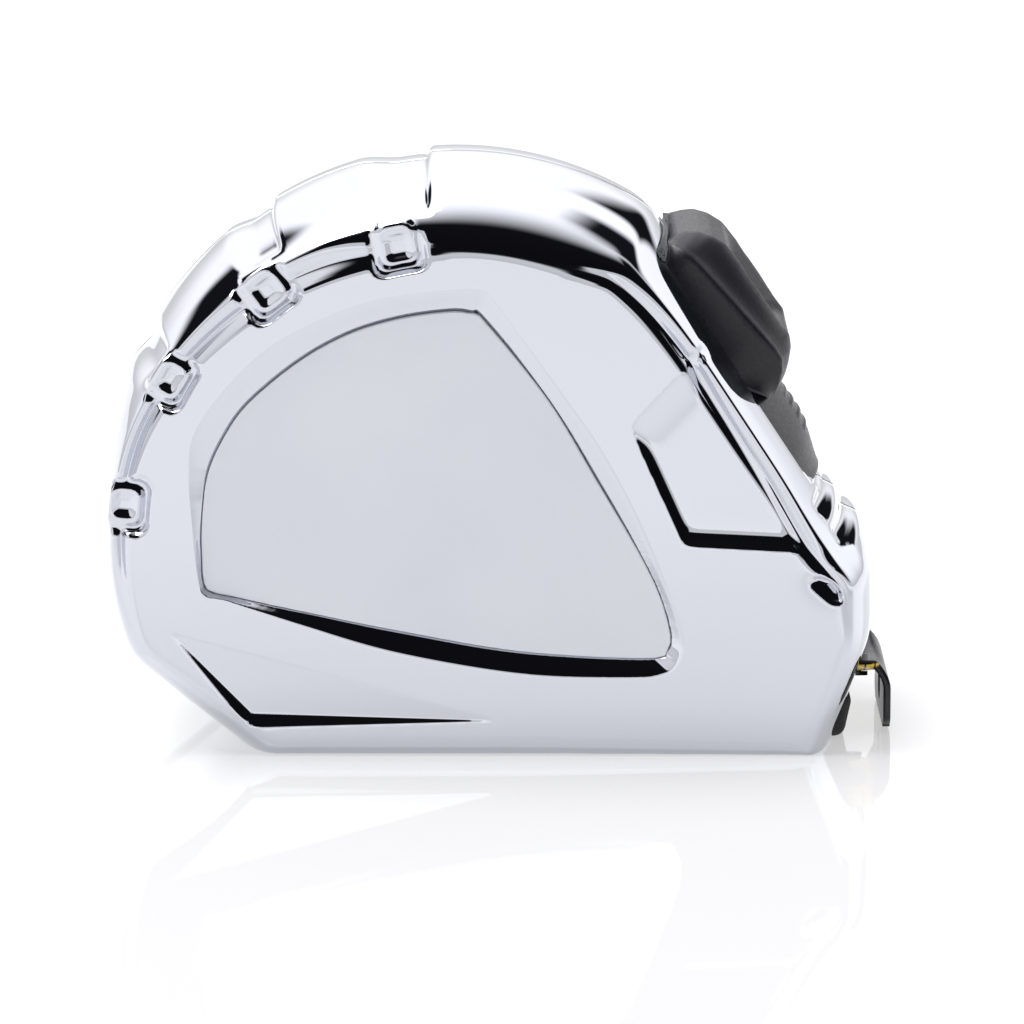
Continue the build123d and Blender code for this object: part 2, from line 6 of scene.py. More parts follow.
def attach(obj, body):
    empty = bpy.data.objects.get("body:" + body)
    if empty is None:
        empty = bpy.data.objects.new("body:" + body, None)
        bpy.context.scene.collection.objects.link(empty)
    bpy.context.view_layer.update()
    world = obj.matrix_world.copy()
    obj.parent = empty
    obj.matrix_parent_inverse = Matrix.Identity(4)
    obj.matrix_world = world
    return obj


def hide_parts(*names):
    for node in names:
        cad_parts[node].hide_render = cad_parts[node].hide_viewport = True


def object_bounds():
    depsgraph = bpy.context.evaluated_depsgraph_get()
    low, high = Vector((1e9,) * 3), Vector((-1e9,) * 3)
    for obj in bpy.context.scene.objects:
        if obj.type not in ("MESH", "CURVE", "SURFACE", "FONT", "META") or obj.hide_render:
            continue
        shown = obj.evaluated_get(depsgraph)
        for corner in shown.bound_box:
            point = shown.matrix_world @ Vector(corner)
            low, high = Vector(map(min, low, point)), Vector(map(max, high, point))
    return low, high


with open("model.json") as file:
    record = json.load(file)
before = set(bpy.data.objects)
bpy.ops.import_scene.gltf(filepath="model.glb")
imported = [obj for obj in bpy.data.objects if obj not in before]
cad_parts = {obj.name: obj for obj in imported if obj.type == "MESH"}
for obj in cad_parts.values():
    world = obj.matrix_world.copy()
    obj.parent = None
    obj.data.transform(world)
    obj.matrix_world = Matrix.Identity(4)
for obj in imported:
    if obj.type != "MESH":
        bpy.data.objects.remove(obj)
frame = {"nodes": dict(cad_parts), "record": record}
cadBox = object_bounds()
print("frame loaded")

mm = 0.001

# The main measures of the case, in millimetres.
case = {
    "half": 18.0,             # parting plane to side face
    "rim": (-3.0, 21.7),      # centre of the round back
    "rimRadius": 35.0,
    "rimLow": 8.5,            # height where the round back starts
    "slopeMeets": -1.76,      # along the slope, where the round back ends
    "noseLow": 10.5,
    "base": (-22.1, 33.2),
    "keel": 2.5,
    "slope": (17.0, 49.6),    # start of the sloping front
    "slopeAngle": radians(56.75),
    "frontX": 37.9,
    "middle": (-3.5, 24.0),   # the rings of the side close here
    "wall": 2.0,
    "hollow": 15.0,           # parting plane to the inner skin
}


# Small helpers.
def clamp(v, low=0.0, high=1.0):
    return low if v < low else high if v > high else v


def smooth(v):
    v = clamp(v)
    return v * v * (3 - 2 * v)


def mix(a, b, t):
    return a + (b - a) * t


def softMin(values, soft):
    total = sum(exp(-v / soft) for v in values)
    return -soft * log(total)


def slopePoint(along, out):
    c, s = cos(case["slopeAngle"]), sin(case["slopeAngle"])
    return case["slope"][0] + along * c + out * s, case["slope"][1] - along * s + out * c


def onSlope(x, z):
    c, s = cos(case["slopeAngle"]), sin(case["slopeAngle"])
    dx, dz = x - case["slope"][0], z - case["slope"][1]
    return dx * c - dz * s, dx * s + dz * c


def newPiece(name, bm, body, material, replaces=(), smoothFaces=True):
    mesh = bpy.data.meshes.new(name)
    for f in bm.faces:
        f.smooth = smoothFaces
    bm.to_mesh(mesh)
    bm.free()
    piece = bpy.data.objects.new(name, mesh)
    bpy.context.scene.collection.objects.link(piece)
    mesh.materials.append(material)
    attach(piece, body)
    if replaces:
        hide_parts(*replaces)
    return piece


def finishMesh(piece, modifier):
    bpy.context.view_layer.update()
    done = bpy.data.meshes.new_from_object(piece.evaluated_get(bpy.context.evaluated_depsgraph_get()))
    piece.modifiers.remove(modifier)
    old = piece.data
    piece.data = done
    bpy.data.meshes.remove(old)


def between(a, b, c, d, t):      # a smooth curve from b to c, past a and d
    return 0.5 * (2 * b + (c - a) * t + (2 * a - 5 * b + 4 * c - d) * t * t
                  + (3 * b - a - 3 * c + d) * t ** 3)


def curveThrough(points, share):
    n = len(points) - 1
    k = min(int(share * n), n - 1)
    t = share * n - k
    p0, p1, p2, p3 = points[max(k - 1, 0)], points[k], points[k + 1], points[min(k + 2, n)]
    return tuple(between(a, b, c, d, t) for a, b, c, d in zip(p0, p1, p2, p3))


def thicken(bm, offset):
    grown = bmesh.ops.extrude_face_region(bm, geom=bm.faces[:])
    moved = [g for g in grown["geom"] if isinstance(g, bmesh.types.BMVert)]
    bmesh.ops.translate(bm, verts=moved, vec=offset)


# Materials.
def newMaterial(name, color, roughness, metallic=0.0, coat=0.0):
    material = bpy.data.materials.new(name)
    material.use_nodes = True
    shader = material.node_tree.nodes["Principled BSDF"]
    shader.inputs["Base Color"].default_value = (*color, 1)
    shader.inputs["Roughness"].default_value = roughness
    shader.inputs["Metallic"].default_value = metallic
    shader.inputs["Coat Weight"].default_value = coat
    return material, material.node_tree, shader


def addNoise(tree, scale, detail=3.0, stretch=(1, 1, 1)):
    place = tree.nodes.new("ShaderNodeTexCoord")
    mapping = tree.nodes.new("ShaderNodeMapping")
    mapping.inputs["Scale"].default_value = stretch
    noise = tree.nodes.new("ShaderNodeTexNoise")
    noise.inputs["Scale"].default_value = scale
    noise.inputs["Detail"].default_value = detail
    tree.links.new(place.outputs["Object"], mapping.inputs["Vector"])
    tree.links.new(mapping.outputs["Vector"], noise.inputs["Vector"])
    return noise


def addRange(tree, source, low, high, socket):
    reach = tree.nodes.new("ShaderNodeMapRange")
    reach.inputs["From Min"].default_value = 0.3
    reach.inputs["From Max"].default_value = 0.7
    reach.inputs["To Min"].default_value = low
    reach.inputs["To Max"].default_value = high
    tree.links.new(source, reach.inputs["Value"])
    tree.links.new(reach.outputs["Result"], socket)


def addBump(tree, shader, source, strength, depth):
    bump = tree.nodes.new("ShaderNodeBump")
    bump.inputs["Strength"].default_value = strength
    bump.inputs["Distance"].default_value = depth
    tree.links.new(source, bump.inputs["Height"])
    tree.links.new(bump.outputs["Normal"], shader.inputs["Normal"])


def addColors(tree, shader, source, first, second):
    ramp = tree.nodes.new("ShaderNodeValToRGB")
    ramp.color_ramp.elements[0].position = 0.3
    ramp.color_ramp.elements[0].color = (*first, 1)
    ramp.color_ramp.elements[1].position = 0.7
    ramp.color_ramp.elements[1].color = (*second, 1)
    tree.links.new(source, ramp.inputs["Fac"])
    tree.links.new(ramp.outputs["Color"], shader.inputs["Base Color"])


def chromeMaterial():
    material, tree, shader = newMaterial("chromePlating", (0.665, 0.68, 0.735), 0.035, 1.0)
    haze = addNoise(tree, 70, 4)
    addRange(tree, haze.outputs["Fac"], 0.02, 0.05, shader.inputs["Roughness"])
    addBump(tree, shader, haze.outputs["Fac"], 0.01, 0.00005)
    return material


def satinMaterial():
    material, tree, shader = newMaterial("satinSilver", (0.8, 0.8, 0.82), 0.42, 0.3)
    grain = addNoise(tree, 5200, 2)
    cloud = addNoise(tree, 55, 2)
    addColors(tree, shader, cloud.outputs["Fac"], (0.86, 0.885, 0.95), (0.91, 0.93, 0.985))
    addRange(tree, grain.outputs["Fac"], 0.36, 0.5, shader.inputs["Roughness"])
    addBump(tree, shader, grain.outputs["Fac"], 0.12, 0.00004)
    return material


def mouldedMaterial(name, first, second, roughness, grainScale=2600, depth=0.00005):
    material, tree, shader = newMaterial(name, first, roughness)
    shader.inputs["Specular IOR Level"].default_value = 0.5
    grain = addNoise(tree, grainScale, 3)
    cloud = addNoise(tree, 90, 2)
    addColors(tree, shader, cloud.outputs["Fac"], first, second)
    addRange(tree, grain.outputs["Fac"], roughness - 0.05, roughness + 0.08, shader.inputs["Roughness"])
    addBump(tree, shader, grain.outputs["Fac"], 0.35, depth)
    return material


def steelMaterial(name, first, second, roughness, metallic=1.0, stretch=(1, 12, 1)):
    material, tree, shader = newMaterial(name, first, roughness, metallic)
    grain = addNoise(tree, 420, 4, stretch)
    addColors(tree, shader, grain.outputs["Fac"], first, second)
    addRange(tree, grain.outputs["Fac"], roughness - 0.06, roughness + 0.08, shader.inputs["Roughness"])
    addBump(tree, shader, grain.outputs["Fac"], 0.05, 0.00002)
    return material


def bladeMaterial():
    material, tree, shader = newMaterial("yellowBlade", (0.85, 0.6, 0.03), 0.32, 0.0, 0.3)
    place = tree.nodes.new("ShaderNodeTexCoord")
    parts = tree.nodes.new("ShaderNodeSeparateXYZ")
    tree.links.new(place.outputs["Object"], parts.inputs["Vector"])

    def step(operation, first, second):
        node = tree.nodes.new("ShaderNodeMath")
        node.operation = operation
        for socket, value in zip(node.inputs, (first, second)):
            if isinstance(value, (int, float)):
                socket.default_value = value
            else:
                tree.links.new(value, socket)
        return node.outputs["Value"]

    x, y = parts.outputs["X"], step("ABSOLUTE", parts.outputs["Y"], 0)
    fine = step("LESS_THAN", step("PINGPONG", x, 0.0005), 0.00009)      # a mark every millimetre
    coarse = step("LESS_THAN", step("PINGPONG", x, 0.005), 0.00016)     # a longer one every ten
    marks = step("MAXIMUM", step("MULTIPLY", fine, step("GREATER_THAN", y, 0.0068)),
                 step("MULTIPLY", coarse, step("GREATER_THAN", y, 0.004)))
    blend = tree.nodes.new("ShaderNodeMix")
    blend.data_type = "RGBA"
    blend.inputs["A"].default_value = (0.85, 0.6, 0.03, 1)
    blend.inputs["B"].default_value = (0.02, 0.02, 0.02, 1)
    tree.links.new(marks, blend.inputs["Factor"])
    tree.links.new(blend.outputs["Result"], shader.inputs["Base Color"])
    wear = addNoise(tree, 300, 3)
    addRange(tree, wear.outputs["Fac"], 0.26, 0.42, shader.inputs["Roughness"])
    return material


chrome = chromeMaterial()
satin = satinMaterial()
lockBlack = mouldedMaterial("lockBlack", (0.006, 0.006, 0.011), (0.01, 0.01, 0.016), 0.4)
badgeBlack = mouldedMaterial("badgeBlack", (0.008, 0.008, 0.011), (0.012, 0.012, 0.015), 0.36, 3400, 0.00003)
bumperBlack = mouldedMaterial("bumperBlack", (0.018, 0.018, 0.02), (0.03, 0.03, 0.032), 0.6)
guideBlack = mouldedMaterial("guideBlack", (0.03, 0.03, 0.032), (0.04, 0.04, 0.042), 0.4)
reelGrey = mouldedMaterial("reelGrey", (0.24, 0.25, 0.27), (0.3, 0.31, 0.33), 0.5)
washerWhite = mouldedMaterial("washerWhite", (0.7, 0.7, 0.66), (0.78, 0.78, 0.74), 0.45)
padRubber = mouldedMaterial("padRubber", (0.03, 0.03, 0.03), (0.05, 0.05, 0.05), 0.75)
hookSteel = steelMaterial("hookSteel", (0.03, 0.03, 0.033), (0.055, 0.055, 0.06), 0.32, 0.6)
rivetSteel = steelMaterial("rivetSteel", (0.10, 0.10, 0.105), (0.16, 0.16, 0.165), 0.3)
screwSteel = steelMaterial("screwSteel", (0.5, 0.5, 0.51), (0.62, 0.62, 0.63), 0.28)
springSteel = steelMaterial("springSteel", (0.25, 0.27, 0.31), (0.36, 0.38, 0.42), 0.3)
clipSteel = steelMaterial("clipSteel", (0.8, 0.8, 0.82), (0.88, 0.88, 0.9), 0.14, 1.0, (1, 1, 14))
bladeYellow = bladeMaterial()

slotMaterials = {
    "chrome_case": chrome, "satin_label": satin, "black_lock": lockBlack, "black_front": badgeBlack,
    "black_bumper": bumperBlack, "hook_steel": hookSteel, "blade_paint": bladeYellow,
    "rivet_steel": rivetSteel, "screw_steel": screwSteel, "clip_steel": clipSteel, "reel_plastic": reelGrey,
    "guide_plastic": guideBlack, "washer_plastic": washerWhite, "spring_steel": springSteel,
    "pad_rubber": padRubber,
}
nodeSlots = {s["node"]: s["material_slot"] for s in frame["record"]["subparts"]}
for name, node in frame["nodes"].items():
    node.data.materials.clear()
    node.data.materials.append(slotMaterials[nodeSlots[name]])
print("materials made")

# The case halves: a grid wrapped round the outline, ring by ring, from the inner skin over
# the crown and the side to the floor of the label recess.
shell = {
    "spokes": 680,
    "crownRings": 48,
    "sideRings": 54,
    "bevelRings": 9,
    "floorRings": (0.006, 0.05, 0.35, 0.7, 1),
    "innerRings": 12,
    "labelDepth": 0.85,
    # how the rim turns into the side: (out from the parting plane, share of the shoulder's width)
    "plain": [
        (0, 0), (3, .01), (6, .04), (9, .10), (11.2, .17), (13, .26), (14.5, .36), (15.6, .46),
        (16.4, .56), (16.95, .65), (17.35, .74), (17.62, .82), (17.75, .87), (17.85, .92),
        (17.93, .97), (17.98, 1.02), (18, 1.08),
    ],
    "beaded": [
        (0, 0), (3, .01), (6, .05), (9, .12), (11.5, .21), (13.5, .30), (15.2, .40), (16.5, .49),
        (17.3, .56), (17.6, .62), (17.6, .70), (17.45, .78), (17.2, .85), (17.08, .89), (17.2, .94),
        (17.6, 1.02), (17.92, 1.10),
    ],
    # along the rim: (x, z, width of the shoulder, share of the bead)
    "rimKeys": [
        (-36.5, 12, 3.0, 0), (-38, 21.7, 3.0, .9), (-36.8, 30.8, 3.3, 1), (-33.3, 39.2, 4.2, 1),
        (-29.8, 44.2, 5.1, 1), (-24.1, 49.7, 5.9, 1), (-17.8, 53.4, 6.5, .9),
        (-11.5, 55.7, 7.2, .35), (-3, 56.7, 7.6, 0), (8, 54.9, 7.6, 0), (15, 51.7, 6.6, .2),
        (19.2, 46.3, 5.0, .7), (22.2, 41.7, 4.4, 1), (30.7, 28.7, 4.4, 1), (34.5, 22.9, 5.0, .8),
        (37.7, 16, 3.6, .1), (36.6, 7, 3.0, 0), (34, -1, 3.4, 0), (0, -2.5, 4.0, 0),
        (-24, -1, 4.0, 0), (-31, 5, 3.5, 0),
    ],
    "labelOuter": [
        (-28.3, 22), (-28.7, 27.6), (-27.7, 32.5), (-22.9, 38.4), (-18.1, 41.8), (-10.9, 44.7),
        (-3.65, 45.7), (-1.2, 45.8), (0.3, 45.2), (3.6, 40.6), (7.2, 35.5), (10.9, 30.1),
        (14.6, 23), (17.8, 14.9), (18.5, 12.6), (18.75, 10.8), (18.2, 9.1), (16.9, 8.1), (14, 7.8),
        (3.75, 8.1), (-8.5, 10.2), (-18.1, 13.1), (-25, 15.45), (-27.3, 16.05), (-27.9, 18),
    ],
    "labelInner": [
        (-27.6, 19.5), (-27.6, 22.7), (-27.0, 27.6), (-25.3, 31.5), (-22.9, 34.8), (-18.1, 38.8),
        (-13.3, 41.5), (-8.5, 43.0), (-3.65, 43.7), (-1.4, 43.5), (-.3, 42.9), (6, 35.0),
        (10.8, 26.9), (14.6, 20.3), (16.7, 15.9), (17.8, 11.9), (17.4, 10.2), (15.6, 9.5),
        (3.1, 10.2), (-8.5, 12.2), (-18.1, 14.2), (-24.8, 15.7), (-27.0, 16.3), (-27.5, 17.4),
    ],
    # claws on the rear shoulder: (angle, inner radius, outer radius)
    "tabs": [(101.2, 26.4, 31.2), (127.2, 27.7, 32.3), (150.8, 29.4, 33.4), (174.6, 29.9, 34.2)],
    # steps down the nose: (along the slope, depth)
    "ledges": [(28.8, 0), (29.6, 0.75), (30.1, 0.75), (31.6, 0.1), (33.2, 0.5), (35.0, -0.4), (39.5, 0)],
    # where the rim steps in: (first angle, last angle)
    "valleys": [(94.6, 104.8), (121.2, 129.4), (146.9, 154.9), (171.5, 181)],
}


def outlinePoints(count):
    cx, cz = case["rim"]
    rear, front = case["base"]
    startZ, arcSteps = case["rimLow"], 90
    a0 = atan2(startZ - cz, -sqrt(case["rimRadius"] ** 2 - (startZ - cz) ** 2)) + 2 * pi
    ex, ez = slopePoint(case["slopeMeets"], 0)
    a1 = atan2(ez - cz, ex - cx)
    path = [(front, -case["keel"]), (rear, -case["keel"])]
    for k in range(arcSteps + 1):
        a = mix(a0, a1, k / arcSteps)
        path.append((cx + case["rimRadius"] * cos(a), cz + case["rimRadius"] * sin(a)))
    path.append(slopePoint((case["frontX"] - case["slope"][0]) / cos(case["slopeAngle"]), 0))
    path += [(case["frontX"], case["noseLow"]), (front, -case["keel"])]
    steps = [hypot(b[0] - a[0], b[1] - a[1]) for a, b in zip(path, path[1:])]
    total, points, k, gone = sum(steps), [], 0, 0.0
    for i in range(count):
        want = total * i / count
        while gone + steps[k] < want:
            gone += steps[k]
            k += 1
        t = (want - gone) / steps[k]
        points.append((mix(path[k][0], path[k + 1][0], t), mix(path[k][1], path[k + 1][1], t)))
    return points


def averaged(values, reach, rounds=2):
    n, width = len(values), 2 * reach + 1
    for _ in range(rounds):
        values = [
            tuple(sum(values[(i + j) % n][c] for j in range(-reach, reach + 1)) / width
                  for c in range(len(values[0])))
            for i in range(n)
        ]
    return values


def inwardNormals(points):
    n = len(points)
    normals = []
    for i in range(n):
        a, b = points[i - 1], points[(i + 1) % n]
        dx, dz = b[0] - a[0], b[1] - a[1]
        d = hypot(dx, dz)
        normals.append((dz / d, -dx / d))
    normals = averaged(normals, 11, 2)
    return [(x / hypot(x, z), z / hypot(x, z)) for x, z in normals]


tableSteps = 1440      # directions round the middle of the side


def radiusTable(points):
    mx, mz = case["middle"]
    dense = []
    n = len(points)
    for k in range(n):
        p = [points[(k + j) % n] for j in (-1, 0, 1, 2)]
        for i in range(16):
            t = i / 16
            dense.append(tuple(between(a, b, c, d, t) for a, b, c, d in zip(*p)))
    table = [0.0] * (tableSteps + 1)
    polar = [(atan2(z - mz, x - mx) % (2 * pi), hypot(x - mx, z - mz)) for x, z in dense]
    for (a, r), (b, s) in zip(polar, polar[1:] + polar[:1]):
        if a - b > pi:
            b += 2 * pi
        if b - a > pi:
            a += 2 * pi
        if a > b:
            a, b, r, s = b, a, s, r
        for k in range(int(a / (2 * pi) * tableSteps), int(b / (2 * pi) * tableSteps) + 2):
            t = clamp((k / tableSteps * 2 * pi - a) / max(b - a, 1e-9))
            table[k % tableSteps] = mix(r, s, t)
    table[tableSteps] = table[0]
    return table


def readRadius(table, angle):
    v = (angle % (2 * pi)) / (2 * pi) * tableSteps
    k = int(v)
    return mix(table[k % tableSteps], table[(k + 1) % tableSteps], v - k)


def lineInside(x, z, line):
    (ax, az), (bx, bz) = line
    d = hypot(bx - ax, bz - az)
    return ((bx - ax) * (z - az) - (bz - az) * (x - ax)) / d


# The finger recess and the wedge low at the rear: each wall is a line and how steeply it falls from it.
finger = {
    "depth": 0.72,
    "soft": 0.22,
    "walls": [
        (((18.7, 21.3), (14.2, 31.2)), 0.8),
        (((30.5, 20.2), (18.4, 20.8)), 0.7),
        (((13.4, 32.0), (20.4, 39.4)), 0.4),
        (((20.9, 38.0), (29.6, 22.2)), 1.3),
    ],
}
wedge = {
    "crease": (((-30.4, 12.1), (-1.0, 4.1)), 0.125),
    "left": (((-30.4, 12.1), (-23.2, 2.9)), 0.65),
    "bottom": (((-23.2, 2.9), (-1.0, 3.5)), 0.6),
}


def sideRelief(x, z):
    h = 0.0
    if x > 13 and z > 19:
        walls = [-lineInside(x, z, line) * steep for line, steep in finger["walls"]]
        inner = softMin(walls + [finger["depth"]], finger["soft"])
        h -= max(inner, 0)
    if x < 0 and z < 13:
        crease, left, bottom = (lineInside(x, z, line) * steep for line, steep in wedge.values())
        inner = min(-crease, left, bottom)
        h -= max(inner, 0)
    return h


def roundedInside(u, v, halfU, halfV, corner):
    du, dv = abs(u) - halfU + corner, abs(v) - halfV + corner
    return corner - hypot(max(du, 0), max(dv, 0)) - min(max(du, dv), 0)


claw = {
    # each: shift along, shift outwards, half length, growth of the half width, corner, softness
    "notch": (0, -0.1, 2.9, 0.6, 1.6, 0.6),
    "pad": (0, -0.25, 2.3, 0.25, 1.5, 0.9),
    "dish": (0.15, 0.05, 1.5, -0.85, 0.9, 0.9),
    "notchLevel": 17.1,
    "padLevel": 17.62,
    "dishDepth": 0.5,
}


def clawShare(u, v, half, key):
    du, dv, length, growth, corner, soft = claw[key]
    return smooth(roundedInside(u + du, v + dv, length, half + growth, corner) / soft)


def tabLevel(x, z, out):
    cx, cz = case["rim"]
    r, a = hypot(x - cx, z - cz), degrees(atan2(z - cz, x - cx)) % 360
    if out < 13.5 or r < 24 or not 92 < a < 185:
        return out
    for angle, low, high in shell["tabs"]:
        u, v = r * radians(a - angle), r - (low + high) / 2
        half = (high - low) / 2
        if roundedInside(u, v, 3.6, half + 2.2, 1.2) <= 0:
            continue
        hold = smooth((out - 14) / 2.5)
        out = mix(out, min(out, claw["notchLevel"]), clawShare(u, v, half, "notch") * hold)
        out = mix(out, claw["padLevel"], clawShare(u, v, half, "pad") * hold)
        out -= claw["dishDepth"] * clawShare(u, v, half, "dish") * hold
    return out


def ledge(s):
    steps = shell["ledges"]
    for (a, p), (b, q) in zip(steps, steps[1:]):
        if a <= s <= b:
            return mix(p, q, smooth((s - a) / (b - a)))
    return 0.0


# The badge below the lock and the shallow seat that it lies in, along the slope.
plate = {"start": 16.0, "shoulder": 24.3, "end": 29.4, "half": 11.4, "corner": 5.0, "proud": 1.2, "rib": 0.13}
seat = {
    "start": 15.2, "shoulder": 24.3, "rounding": 5.7, "end": 29.4, "half": 11.7,
    "middle": 0.7, "edge": 1.0,      # how deep it is
}


def crownSink(x, z, out):
    cx, cz = case["rim"]
    a = degrees(atan2(z - cz, x - cx)) % 360
    sink = 0.0
    hold = 1 - smooth((out - 13.5) / 3)
    for first, last in shell["valleys"]:
        if first - 1 < a < last + 4:
            fall = smooth(a - first + 0.5)
            rise = 1 - smooth((a - mix(first, last, 0.45)) / (last - first) * 1.4)
            sink += 0.75 * fall * rise * hold
    if x > 15:
        s = onSlope(x, z)[0]
        sink += ledge(s) * (1 - smooth((out - 12.8) / 2.4))
        past = max(s - seat["shoulder"], 0) / seat["rounding"]
        w = seat["half"] * sqrt(clamp(1 - past ** plate["corner"]))
        sink += (mix(seat["middle"], seat["edge"], smooth((out - 6) / 4)) * smooth((s - seat["start"]) / 0.6)
                 * smooth((w - out) / 0.9) * (1 - smooth((s - seat["end"]) / 0.5)))
    return sink


def noseRelief(x, z, out):
    if x < 18 or out < 12:
        return 0.0
    s, n = onSlope(x, z)
    h = -0.5 * exp(-((s - 10.4) / 0.55) ** 2) * smooth((out - 16) / 0.8) * (1 - smooth((-n - 3.2) / 1.2))
    h += 0.45 * exp(-((x - 33.4) ** 2 + (z - 18.4) ** 2) / 3.0)
    u = (x - 32.7) * 0.77 - (z - 16.4) * 0.64
    v = (x - 32.7) * 0.64 + (z - 16.4) * 0.77
    return h - 1.15 * smooth((1.2 - hypot(u / 1.7, v / 0.95)) * 2.2) * clamp(0.5 + v / 1.7)


def buildHalf():
    n = shell["spokes"]
    points = outlinePoints(n)
    normals = inwardNormals(points)
    points = averaged(points, 4, 2)
    keys = []
    for x, z, width, bead in shell["rimKeys"]:
        keys.append((min(range(n), key=lambda i: hypot(points[i][0] - x, points[i][1] - z)), width, bead))
    keys.sort()
    widths, beads = [0.0] * n, [0.0] * n
    for a, b in zip(keys, keys[1:] + [(keys[0][0] + n, keys[0][1], keys[0][2])]):
        for i in range(a[0], b[0]):
            t = smooth((i - a[0]) / max(b[0] - a[0], 1))
            widths[i % n], beads[i % n] = mix(a[1], b[1], t), mix(a[2], b[2], t)
    both = averaged(list(zip(widths, beads)), 8, 2)
    outerTable, innerTable = radiusTable(shell["labelOuter"]), radiusTable(shell["labelInner"])
    mx, mz = case["middle"]
    spokes = []
    for (px, pz), (nx, nz), (width, bead) in zip(points, normals, both):
        reach = width * mix(1.10, 1.18, bead)
        qx, qz = px + nx * reach, pz + nz * reach
        angle = atan2(qz - mz, qx - mx)
        ro, ri = readRadius(outerTable, angle), readRadius(innerTable, angle)
        ro = max(ro, ri + 0.25)
        bevel = (mx + ro * cos(angle), mz + ro * sin(angle))
        floor = (mx + ri * cos(angle), mz + ri * sin(angle))
        depth = clamp(0.45 * (ro - ri), 0.55, shell["labelDepth"])
        spokes.append((px, pz, nx, nz, width, bead, qx, qz, bevel, floor, depth))
    rings = [("inner", k / shell["innerRings"]) for k in range(shell["innerRings"], -1, -1)]
    rings += [("crown", k / shell["crownRings"]) for k in range(shell["crownRings"] + 1)]
    rings += [("side", k / shell["sideRings"]) for k in range(1, shell["sideRings"] + 1)]
    rings += [("bevel", k / shell["bevelRings"]) for k in range(1, shell["bevelRings"] + 1)]
    rings += [("floor", t) for t in shell["floorRings"]]

    bm = bmesh.new()
    bmesh.ops.create_grid(bm, x_segments=n, y_segments=len(rings) - 1, size=1)
    for v in bm.verts:
        spoke = spokes[round((v.co.x + 1) / 2 * n) % n]
        zone, t = rings[round((v.co.y + 1) / 2 * (len(rings) - 1))]
        px, pz, nx, nz, width, bead, qx, qz, bevel, floor, depth = spoke
        low = 0.0
        if zone == "inner":
            low = case["wall"]
            inset = case["wall"] + 2.6 * smooth(t / 0.6)
            x, z = px + nx * inset, pz + nz * inset
            out = case["hollow"] * clamp(t / 0.6)
            if t > 0.6:
                x, z = mix(x, mx, (t - 0.6) / 0.4), mix(z, mz, (t - 0.6) / 0.4)
        elif zone == "crown":
            a, b = curveThrough(shell["plain"], t), curveThrough(shell["beaded"], t)
            out, share = mix(a[0], b[0], bead), mix(a[1], b[1], bead)
            inset = width * share
            x, z = px + nx * inset, pz + nz * inset
            sink = crownSink(x, z, out)
            x, z = x + nx * sink, z + nz * sink
            if out > 13:
                out = tabLevel(x, z, out + noseRelief(x, z, out))
                if out > 16.5:
                    out += sideRelief(x, z) * smooth((out - 16.5) / 1.3)
        elif zone == "side":
            x, z = mix(qx, bevel[0], t), mix(qz, bevel[1], t)
            out = tabLevel(x, z, case["half"] + sideRelief(x, z) + noseRelief(x, z, 18))
        elif zone == "bevel":
            x, z = mix(bevel[0], floor[0], t), mix(bevel[1], floor[1], t)
            out = case["half"] + sideRelief(*bevel) * (1 - t) - depth * mix(t, smooth(t), 0.35)
        else:
            x, z = mix(floor[0], mx, t), mix(floor[1], mz, t)
            out = case["half"] - mix(depth, 1.5, smooth(t * 160))
        v.co = (x * mm, -out * mm, max(z, low) * mm)
    bmesh.ops.remove_doubles(bm, verts=bm.verts, dist=1e-7)
    bmesh.ops.recalc_face_normals(bm, faces=bm.faces)
    return bm


def cutter(bm, name):
    mesh = bpy.data.meshes.new(name)
    bm.to_mesh(mesh)
    bm.free()
    tool = bpy.data.objects.new(name, mesh)
    bpy.context.scene.collection.objects.link(tool)
    return tool


def roundedBox(bm, low, high, radius, segments=3):
    made = bmesh.ops.create_cube(bm, size=1)["verts"]
    for v in made:
        v.co = [mix(a, b, c + 0.5) * mm for a, b, c in zip(low, high, v.co)]
    edges = list({e for v in made for e in v.link_edges})
    if radius:
        bmesh.ops.bevel(bm, geom=edges, offset=radius * mm, offset_type="OFFSET", segments=segments,
                        profile=0.5, affect="EDGES", material=-1)


def turnedPin(bm, x, z, y0, y1, radius, segments=40):
    made = bmesh.ops.create_cone(bm, cap_ends=True, segments=segments, radius1=radius * mm,
                                 radius2=radius * mm, depth=abs(y1 - y0) * mm)["verts"]
    bmesh.ops.rotate(bm, verts=made, cent=(0, 0, 0), matrix=Matrix.Rotation(pi / 2, 3, "X"))
    bmesh.ops.translate(bm, verts=made, vec=(x * mm, (y0 + y1) / 2 * mm, z * mm))


def cutOut(piece, tool):
    modifier = piece.modifiers.new("cut", "BOOLEAN")
    modifier.operation = "DIFFERENCE"
    modifier.solver = "EXACT"
    modifier.object = tool
    finishMesh(piece, modifier)
    bpy.data.objects.remove(tool)


cuts = {
    "mouthLow": (31.0, -10.6, -3),
    "mouthHigh": (46, 10.6, 9.2),
    "mouthRound": 0.8,
    "slot": (4.6, 15.4),      # along the slope
    "slotWidth": 6.8,
    "screws": ((-27.0, 10.5), (-22.7, 41.4), (11.0, 45.0), (21.5, 14.0)),
    "headRadius": 2.2,
    "headSeat": 13.5,         # on the far half only
    "past": 20,
}


